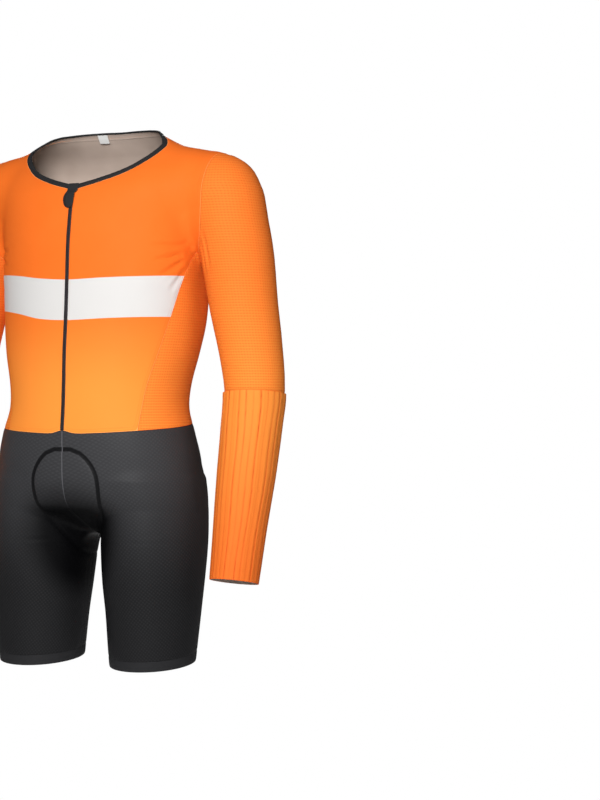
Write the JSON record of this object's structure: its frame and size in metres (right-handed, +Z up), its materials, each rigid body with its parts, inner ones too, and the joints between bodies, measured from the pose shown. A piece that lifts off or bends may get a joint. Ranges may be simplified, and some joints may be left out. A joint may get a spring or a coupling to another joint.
{
  "type": "time trial skinsuit",
  "caption": "Long-sleeved one-piece cycling suit with short legs in its worn form, with a front zip, side panels, ribbed lower sleeves, a seat pad and hem bands.",
  "frame": {"origin": "between the shoulders at the base of the neck, where the wearer's body holds the suit up", "axes": "+Z up, the chest faces -Y, +X is the wearer's left side"},
  "size_m": [0.637, 0.2578, 0.858],
  "materials": {
    "orange_knit": "satin",
    "orange_mesh": "satin",
    "orange_rib": "satin",
    "black_knit": "satin",
    "black_trim": "matte",
    "pad_foam": "matte",
    "white_tape": "matte",
    "slider_metal": "satin"
  },
  "bodies": {
    "root": {"front_left": "orange_knit", "front_right": "orange_knit", "back": "orange_knit", "side_panel_left": "orange_mesh", "side_panel_right": "orange_mesh", "sleeve_upper_left": "orange_mesh", "sleeve_upper_right": "orange_mesh", "sleeve_lower_left": "orange_rib", "sleeve_lower_right": "orange_rib", "leg_left": "black_knit", "leg_right": "black_knit", "yoke": "black_knit", "seat_left": "black_knit", "seat_right": "black_knit", "neck_binding": "black_trim", "zip": "black_trim", "zip_garage": "black_trim", "hem_gripper_left": "black_trim", "hem_gripper_right": "black_trim", "seat_pad": "pad_foam", "size_label": "white_tape", "zip_slider": "slider_metal"}
  },
  "joints": []
}
